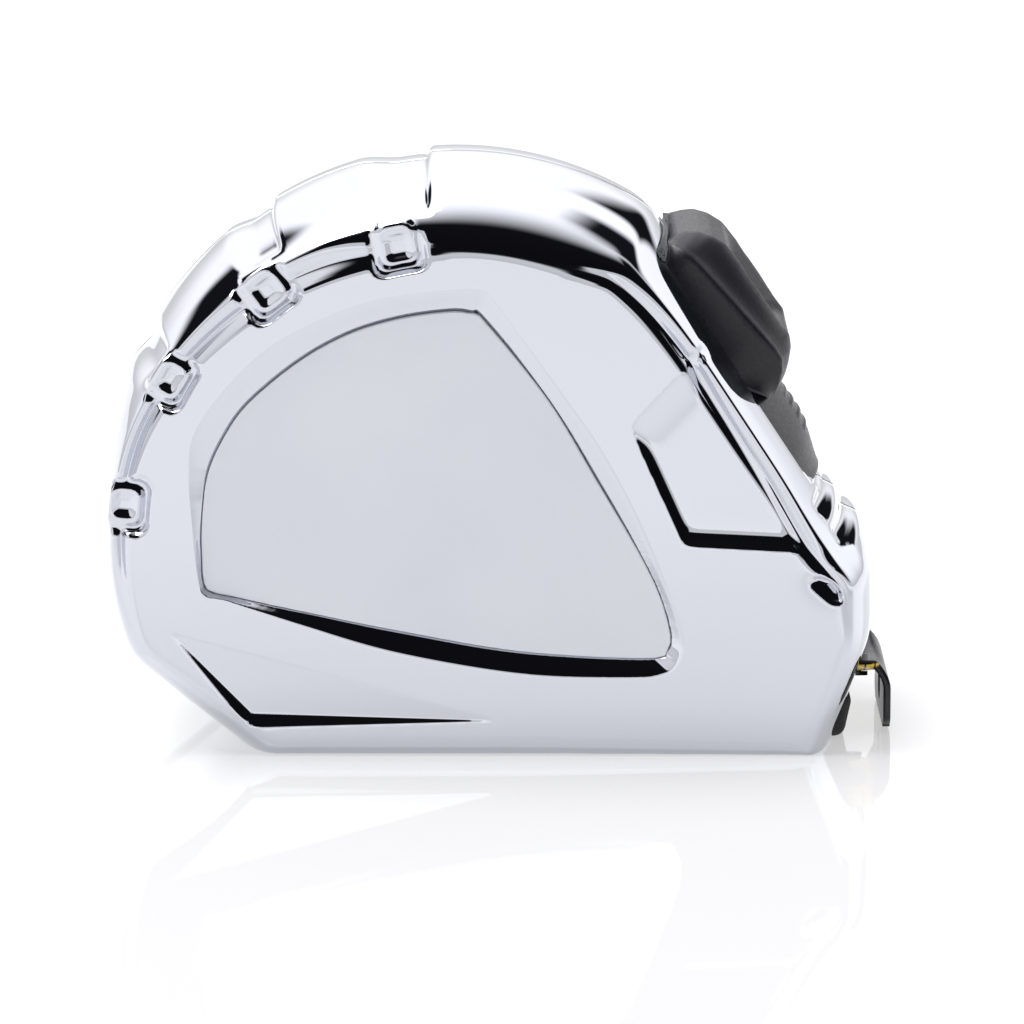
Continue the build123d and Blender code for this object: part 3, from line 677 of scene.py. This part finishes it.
def openings(far):
    bm = bmesh.new()
    roundedBox(bm, cuts["mouthLow"], cuts["mouthHigh"], cuts["mouthRound"])
    other = bmesh.new()
    s0, s1 = cuts["slot"]
    made = bmesh.ops.create_cube(other, size=1)["verts"]
    for v in made:
        x, z = slopePoint(mix(s0, s1, v.co.x + 0.5), mix(-4, 2, v.co.z + 0.5))
        v.co = (x * mm, v.co.y * cuts["slotWidth"] * mm, z * mm)
    bmesh.ops.recalc_face_normals(other, faces=other.faces)
    spare = bpy.data.meshes.new("spare")
    other.to_mesh(spare)
    other.free()
    bm.from_mesh(spare)
    bpy.data.meshes.remove(spare)
    if far:
        for x, z in cuts["screws"]:
            turnedPin(bm, x, z, cuts["headSeat"], cuts["past"], cuts["headRadius"])
    return cutter(bm, "openings")


nearBm = buildHalf()
print("half formed", len(nearBm.faces))
farBm = nearBm.copy()
bmesh.ops.scale(farBm, vec=(1, -1, 1), verts=farBm.verts)
bmesh.ops.recalc_face_normals(farBm, faces=farBm.faces)
nearShell = newPiece("nearCaseHalf", nearBm, "case", chrome, ("near_shell",))
farShell = newPiece("farCaseHalf", farBm, "case", chrome, ("far_shell",))
cutOut(nearShell, openings(False))
cutOut(farShell, openings(True))
print("case halves", len(nearShell.data.polygons), len(farShell.data.polygons))

# Side labels.
labels = {"thick": 0.82, "rise": 16.6, "edge": 0.12, "shrink": 0.12}


def labelPlate(name, side, node):
    bm = bmesh.new()
    table = radiusTable(shell["labelInner"])
    mx, mz = case["middle"]
    count = 220
    made = bmesh.ops.create_circle(bm, cap_ends=True, segments=count, radius=1)["verts"]
    for v in made:
        a = atan2(v.co.y, v.co.x)
        r = readRadius(table, a) - labels["shrink"]
        v.co = ((mx + r * cos(a)) * mm, side * labels["rise"] * mm, (mz + r * sin(a)) * mm)
    thicken(bm, (0, side * labels["thick"] * mm, 0))
    bmesh.ops.recalc_face_normals(bm, faces=bm.faces)
    level = side * (labels["rise"] + labels["thick"]) * mm
    rim = [e for e in bm.edges if all(abs(v.co.y - level) < 1e-6 for v in e.verts)]
    bmesh.ops.bevel(bm, geom=rim, offset=labels["edge"] * mm, offset_type="OFFSET", segments=2, profile=0.5,
                    affect="EDGES", material=-1)
    return newPiece(name, bm, "case", satin, (node,), smoothFaces=False)


labelPlate("nearLabel", -1, "near_label_plate")
labelPlate("farLabel", 1, "far_label_plate")
print("labels")

# Thumb lock.
lock = {
    # height of the middle and of the edges: (along, height)
    "profile": [
        (0.0, 0.5), (0.35, 1.7), (1.1, 2.9), (2.3, 3.8), (3.9, 4.5), (6.6, 5.1), (9, 5.27),
        (11.0, 5.3), (13.5, 5.25), (15.5, 5.0), (16.9, 4.3), (18.0, 3.4), (18.9, 2.5), (19.6, 1.6),
        (20.0, 0.8),
    ],
    "edge": [
        (0.0, 0.0), (0.5, 0.5), (1.4, 1.0), (2.7, 1.4), (4, 1.65), (6.6, 2.0), (9, 2.35),
        (11.0, 2.6), (13.5, 2.95), (15.5, 3.15), (16.9, 3.1), (18.0, 2.5), (18.9, 1.7), (19.6, 0.9),
        (20.0, 0.2),
    ],
    "dish": 2.0,
    "corner": 2.2,
    "start": 0.7,
    "end": 19.2,
    "around": 96,
    "along": 84,
    # shares of the way round: each flank, the top and the underside
    "flank": 0.10,
    "top": 0.52,
    "under": 0.28,
}


def lockHeight(points, s):
    for (a, p), (b, q) in zip(points, points[1:]):
        if s <= b:
            return mix(p, q, (s - a) / (b - a))
    return points[-1][1]


def thumbLock():
    bm = bmesh.new()
    flank, topEnd, underStart = lock["flank"], lock["flank"] + lock["top"], 1 - lock["under"]
    bmesh.ops.create_grid(bm, x_segments=lock["around"], y_segments=lock["along"], size=1)
    for v in bm.verts:
        a, s = (v.co.x + 1) / 2, (v.co.y + 1) / 2 * 20
        near = min(s, 20 - s)
        corner = lock["corner"] - sqrt(lock["corner"] ** 2 - max(lock["corner"] - near, 0) ** 2)
        top, edge = lockHeight(lock["profile"], s), lockHeight(lock["edge"], s)
        tail = -2.0 * smooth(s / 2.5) * smooth((20.0 - s) / 4.5)
        if a < flank or topEnd < a < underStart:      # the flanks, from the drape up to the edge
            side = -1 if a < flank else 1
            t = a / flank if a < flank else (underStart - a) / flank
            y = mix(12.2, 11.1, t) - 0.35 * sin(pi * t)
            n = mix(tail, edge, t)
        elif a < topEnd:                               # the top
            u = (a - flank) / lock["top"] * 2 - 1
            y = 11.1 * abs(u)
            side = 1 if u > 0 else -1
            shoulder = smooth((1 - abs(u)) / 0.34)
            n = mix(edge, top, shoulder)
            dish = smooth((0.86 - abs(u)) / 0.55) * smooth((s - 3.6) / 5.0) * smooth((16.4 - s) / 3.2)
            n -= lock["dish"] * dish
        else:                                          # the underside
            u = (a - underStart) / lock["under"]
            y = 12.0 - 24.0 * u
            side, y = (1, y) if y > 0 else (-1, -y)
            n = mix(0.33, tail - 0.02, smooth((y - 3) / 9))
        taper = 1 - 0.10 * smooth((s - 13) / 8) - 0.05 * smooth((3 - s) / 3)
        x, z = slopePoint(mix(lock["start"], lock["end"], s / 20), n)
        v.co = (x * mm, side * (y * taper - corner * y / 12) * mm, z * mm)
    bmesh.ops.remove_doubles(bm, verts=bm.verts, dist=2e-6)
    open_ = [e for e in bm.edges if e.is_boundary]
    bmesh.ops.holes_fill(bm, edges=open_, sides=0)
    bmesh.ops.recalc_face_normals(bm, faces=bm.faces)
    return newPiece("thumbLock", bm, "lock", lockBlack, ("thumb_lock",))


thumbLock()
print("thumb lock")

# Badge below the lock.
def frontPlate():
    bm = bmesh.new()
    across, along = 84, 96
    bmesh.ops.create_grid(bm, x_segments=across, y_segments=along, size=1)
    for v in bm.verts:
        s = mix(plate["start"], plate["end"], (v.co.y + 1) / 2)
        half = plate["half"]
        if s >= plate["shoulder"]:
            past = (s - plate["shoulder"]) / (plate["end"] - plate["shoulder"])
            half *= sqrt(clamp(1 - past ** plate["corner"], 0.002, 1))
        y = v.co.x * half
        fall = (smooth((1 - abs(v.co.x)) * half) * smooth((plate["end"] - s) / 0.8)
                * smooth((s - plate["start"] + 0.1) / 0.3))
        level = plate["proud"] - 2.9 * (y / plate["half"]) ** 2 - 1.3 * smooth((s - 22) / 7.4) ** 1.5
        n = mix(-2.3, level, fall)
        ribs = (smooth((sin((s - 20.2) * 2 * pi / 1.3) - 0.1) * 1.4) * smooth((s - 20.4) / 0.4)
                * smooth((25.2 - s) / 0.4) * smooth((3.6 - abs(y)) / 0.5))
        x, z = slopePoint(s, n + plate["rib"] * ribs)
        v.co = (x * mm, y * mm, z * mm)
    c, sn = cos(case["slopeAngle"]), sin(case["slopeAngle"])
    thicken(bm, (-sn * 0.3 * mm, 0, -c * 0.3 * mm))
    bmesh.ops.recalc_face_normals(bm, faces=bm.faces)
    return newPiece("frontBadge", bm, "case", badgeBlack, ("front_plate",))


frontPlate()

# Bumper, blade and hook.
bumper = {"low": (31.4, -10.2, 0.0), "high": (35.8, 10.2, 4.2), "round": 0.9}


def noseBumper():
    bm = bmesh.new()
    roundedBox(bm, bumper["low"], bumper["high"], 0)
    for v in bm.verts:
        if v.co.x > 33 * mm and v.co.z < 1 * mm:
            v.co.x -= 0.9 * mm
    bmesh.ops.bevel(bm, geom=bm.edges[:], offset=bumper["round"] * mm, offset_type="OFFSET", segments=4,
                    profile=0.5, affect="EDGES", material=-1)
    return newPiece("noseBumper", bm, "case", bumperBlack, ("nose_bumper",))


noseBumper()

blade = {"half": 9.5, "thick": 0.2, "z": 5.2, "sag": 2.0, "end": 38.4, "start": -4.5, "curl": 12.0}


def bladeStrip():
    bm = bmesh.new()
    bmesh.ops.create_grid(bm, x_segments=90, y_segments=40, size=1)
    for v in bm.verts:
        x, u = mix(blade["start"], blade["end"], (v.co.x + 1) / 2), v.co.y
        corner = smooth((x - blade["end"] + 1.6) / 1.6)
        y = u * (blade["half"] - 0.9 * corner * corner)
        sag = mix(0.06, blade["sag"], smooth((x - blade["start"]) / (blade["curl"] - blade["start"])))
        v.co = (x * mm, y * mm, (blade["z"] + sag * u * u) * mm)
    thicken(bm, (0, 0, -blade["thick"] * mm))
    bmesh.ops.recalc_face_normals(bm, faces=bm.faces)
    return newPiece("bladeStrip", bm, "blade", bladeYellow, ("blade_lead",))


bladeStrip()

hook = {
    "start": 30.9, "half": 7.4, "legHalf": 8.0, "lift": 0.12, "thick": 0.6,
    "leg": 39.6, "foot": 0.3, "bend": 1.5, "metal": 0.7,
    "nail": (39.2, 0, 3.2),
    "nailRadius": 1.6,
    "rivets": ((33.2, 0.0), (35.8, 4.5), (35.8, -4.5)),
    "slotRadius": 1.25,
    "play": 0.8,              # the slots are this much longer than round
}


def hookPath(t):
    top = blade["z"] + hook["lift"] + hook["thick"]
    flat = hook["leg"] - hook["bend"] - hook["start"]
    turn = hook["bend"] * pi / 2
    drop = top - hook["bend"] - hook["foot"]
    d = t * (flat + turn + drop)
    if d < flat:
        return hook["start"] + d, top, (0, 1)
    if d < flat + turn:
        a = (d - flat) / hook["bend"]
        x = hook["leg"] - hook["bend"] + hook["bend"] * sin(a)
        return x, top - hook["bend"] + hook["bend"] * cos(a), (sin(a), cos(a))
    return hook["leg"], top - hook["bend"] - (d - flat - turn), (1, 0)


def endHook():
    bm = bmesh.new()
    bmesh.ops.create_grid(bm, x_segments=72, y_segments=36, size=1)
    for v in bm.verts:
        t, u = (v.co.x + 1) / 2, v.co.y
        x, z, n = hookPath(t)
        leg = n[0]
        half = mix(hook["half"], hook["legHalf"], leg)
        half -= (1.3 * smooth((hook["foot"] + 1.5 - z) / 1.5) ** 2
                 + 1.2 * smooth((hook["start"] + 1.4 - x) / 1.4) ** 2)
        y = u * half
        z += blade["sag"] * (y / blade["half"]) ** 2 * (1 - leg)
        v.co = (x * mm, y * mm, z * mm)
    bmesh.ops.recalc_face_normals(bm, faces=bm.faces)
    piece = newPiece("endHook", bm, "hook", hookSteel, ("end_hook",))
    thick = piece.modifiers.new("metal", "SOLIDIFY")
    thick.thickness = hook["metal"] * mm
    thick.offset = -1
    finishMesh(piece, thick)
    cut = bmesh.new()
    nail, wide = hook["nailRadius"] * mm, hook["slotRadius"] * mm
    made = bmesh.ops.create_cone(cut, cap_ends=True, segments=32, radius1=nail, radius2=nail,
                                 depth=4 * mm)["verts"]
    bmesh.ops.rotate(cut, verts=made, cent=(0, 0, 0), matrix=Matrix.Rotation(pi / 2, 3, "Y"))
    bmesh.ops.translate(cut, verts=made, vec=[c * mm for c in hook["nail"]])
    for x, y in hook["rivets"]:
        slot = bmesh.ops.create_cone(cut, cap_ends=True, segments=24, radius1=wide, radius2=wide,
                                     depth=3 * mm)["verts"]
        for v in slot:
            if v.co.x < 0:
                v.co.x -= hook["play"] * mm
        bmesh.ops.translate(cut, verts=slot, vec=(x * mm, y * mm, (blade["z"] + 0.7) * mm))
    cutOut(piece, cutter(cut, "hookHoles"))
    return piece


endHook()
print("bumper, blade and hook")

# Belt clip.
clip = {
    "x": -4.0, "half": 7.0, "y": 21.3, "z": 46.0, "inner": 2.3, "thick": 1.0, "foot": 8.4, "flare": 1.3,
    "plate": 12.0,            # length of the plate on the case
    "slit": 0.25,             # the bend is parted here by twice this
}


def clipStrip(name, first, last, body, nodes):
    bm = bmesh.new()
    rows = 90
    bmesh.ops.create_grid(bm, x_segments=16, y_segments=rows, size=1)
    r = clip["inner"] + clip["thick"]
    for v in bm.verts:
        d = mix(first, last, (v.co.y + 1) / 2)
        if d < 0:                                  # the plate on the case
            y, z = clip["y"] - r, clip["z"] + d
        elif d < pi * r:                           # the bend
            y, z = clip["y"] - r * cos(d / r), clip["z"] + r * sin(d / r)
        else:                                      # the tongue
            z = clip["z"] - (d - pi * r)
            y = clip["y"] + r + clip["flare"] * smooth((12.6 - z) / 4.2)
            y -= 0.35 * exp(-((z - 14.5) / 1.8) ** 2)
        half = clip["half"]
        if d < 0:
            half -= 1.6 * smooth((-d - 10.2) / 1.8) ** 2
        u = v.co.x
        if d > pi * r:                             # a rounded foot and a shallow rib
            half -= 2.0 * smooth((clip["foot"] + 2.2 - z) / 2.2) ** 2
            y += 0.25 * smooth(1 - abs(u) / 0.6) * smooth((z - 16) / 2) * smooth((40 - z) / 3)
        v.co = ((clip["x"] + u * half) * mm, y * mm, z * mm)
    bmesh.ops.recalc_face_normals(bm, faces=bm.faces)
    piece = newPiece(name, bm, body, clipSteel, nodes)
    thick = piece.modifiers.new("metal", "SOLIDIFY")
    thick.thickness = clip["thick"] * mm
    facing = 0.0      # the metal goes inwards, towards the centre of the bend
    for p in piece.data.polygons:
        facing += p.normal.dot(Vector((0, p.center.y - clip["y"] * mm, p.center.z - clip["z"] * mm)))
    thick.offset = -1 if facing > 0 else 1
    finishMesh(piece, thick)
    return piece


bendEnd = pi * (clip["inner"] + clip["thick"])
tongueEnd = bendEnd + clip["z"] - clip["foot"]
clipStrip("clipBracket", -clip["plate"], bendEnd / 2 - clip["slit"], "case", ("clip_bracket",))
clipStrip("clipTongue", bendEnd / 2 + clip["slit"], tongueEnd, "clip", ("clip_tongue",))
print("belt clip")

# Floor, light and camera.
ground = {"color": (0.42, 0.42, 0.43), "roughness": 0.03, "ior": 1.2, "glow": 0.47, "reach": 3}
floorPaint, _, floorShader = newMaterial("floorPaint", ground["color"], ground["roughness"])
floorShader.inputs["IOR"].default_value = ground["ior"]
floorShader.inputs["Emission Color"].default_value = (1, 1, 1, 1)      # it glows, so that it shows white
floorShader.inputs["Emission Strength"].default_value = ground["glow"]
floorBm = bmesh.new()
bmesh.ops.create_grid(floorBm, x_segments=1, y_segments=1, size=ground["reach"])
floorMesh = bpy.data.meshes.new("floor")
floorBm.to_mesh(floorMesh)
floorBm.free()
floor = bpy.data.objects.new("floor", floorMesh)
bpy.context.scene.collection.objects.link(floor)
floorMesh.materials.append(floorPaint)
floor.location.z = cadBox[0].z

studio = {
    "white": (0.98, 0.98, 1.0),
    "strength": 0.74,
    "behind": 0.5,            # added above the back
    "overhead": 0.4,          # added towards the zenith
    # dark patches: ranges of x, y and z of the direction, and how soft their edges are
    "dark": [((-0.36, 2, 0.06), (-2, -0.20, 0.28), (0.22, 2, 0.03)),
             ((0.45, 2, 0.08), (-2, -0.02, 0.12), (0.07, 2, 0.03)),
             ((-0.97, -0.40, 0.04), (-0.10, 0.80, 0.05), (0.30, 0.66, 0.05)),
             ((0.34, 0.80, 0.05), (0.05, 0.60, 0.06), (0.58, 0.90, 0.05)),
             ((0.24, 0.55, 0.05), (0.60, 0.97, 0.05), (0.18, 0.48, 0.05))],
}


def studioWorld():
    world = bpy.data.worlds.new("studio")
    bpy.context.scene.world = world
    world.use_nodes = True
    tree = world.node_tree
    light = tree.nodes["Background"]
    place = tree.nodes.new("ShaderNodeTexCoord")
    parts = tree.nodes.new("ShaderNodeSeparateXYZ")
    tree.links.new(place.outputs["Generated"], parts.inputs["Vector"])

    def edge(source, at, soft):
        node = tree.nodes.new("ShaderNodeMapRange")
        node.interpolation_type = "SMOOTHSTEP"
        node.inputs["From Min"].default_value = at - soft
        node.inputs["From Max"].default_value = at + soft
        tree.links.new(source, node.inputs["Value"])
        return node.outputs["Result"]

    def join(operation, first, second):
        node = tree.nodes.new("ShaderNodeMath")
        node.operation = operation
        tree.links.new(first, node.inputs[0])
        tree.links.new(second, node.inputs[1])
        return node.outputs["Value"]

    dark = None
    for ranges in studio["dark"]:
        patch = None
        for axis, (low, high, soft) in zip("XYZ", ranges):
            source = parts.outputs[axis]
            band = None
            if low > -1:
                band = edge(source, low, soft)
            if high < 1:
                upper = edge(source, high, -soft)
                band = upper if band is None else join("MULTIPLY", band, upper)
            if band is not None:
                patch = band if patch is None else join("MULTIPLY", patch, band)
        dark = patch if dark is None else join("MAXIMUM", dark, patch)
    blend = tree.nodes.new("ShaderNodeMix")
    blend.data_type = "RGBA"
    blend.inputs["A"].default_value = (*studio["white"], 1)
    blend.inputs["B"].default_value = (0.006, 0.006, 0.008, 1)
    tree.links.new(dark, blend.inputs["Factor"])
    tree.links.new(blend.outputs["Result"], light.inputs["Color"])
    glow = join("MULTIPLY", edge(parts.outputs["Y"], 0.15, 0.2), edge(parts.outputs["Z"], 0.12, 0.12))
    over = tree.nodes.new("ShaderNodeMapRange")
    over.inputs["To Min"].default_value = studio["strength"]
    over.inputs["To Max"].default_value = studio["strength"] + studio["overhead"]
    tree.links.new(parts.outputs["Z"], over.inputs["Value"])
    more = tree.nodes.new("ShaderNodeMath")
    more.operation = "MULTIPLY_ADD"
    more.inputs[1].default_value = studio["behind"]
    tree.links.new(glow, more.inputs[0])
    tree.links.new(over.outputs["Result"], more.inputs[2])
    tree.links.new(more.outputs["Value"], light.inputs["Strength"])


studioWorld()


def areaLight(name, place, aim, size, power):
    data = bpy.data.lights.new(name, "AREA")
    data.shape = "DISK"
    data.size = size
    data.energy = power
    lamp = bpy.data.objects.new(name, data)
    bpy.context.scene.collection.objects.link(lamp)
    lamp.location = place
    lamp.rotation_euler = (Vector(aim) - Vector(place)).to_track_quat("-Z", "Y").to_euler()
    return lamp


areaLight("topLight", (-0.35, 0.05, 0.85), (0, 0, 0.03), 0.7, 8)

camera = {"distance": 0.65, "height": radians(11.5), "lens": 231, "aim": (0.0024, 0, 0.0205)}
cameraData = bpy.data.cameras.new("camera")
cameraData.lens = camera["lens"]
cameraData.sensor_width = 36
cameraData.clip_start = 0.01
cameraObject = bpy.data.objects.new("camera", cameraData)
bpy.context.scene.collection.objects.link(cameraObject)
aim = Vector(camera["aim"])
cameraObject.location = aim + Vector((0, -cos(camera["height"]), sin(camera["height"]))) * camera["distance"]
cameraObject.rotation_euler = (aim - cameraObject.location).to_track_quat("-Z", "Y").to_euler()
bpy.context.scene.camera = cameraObject
bpy.context.scene.view_settings.view_transform = "Standard"
print("stage set")
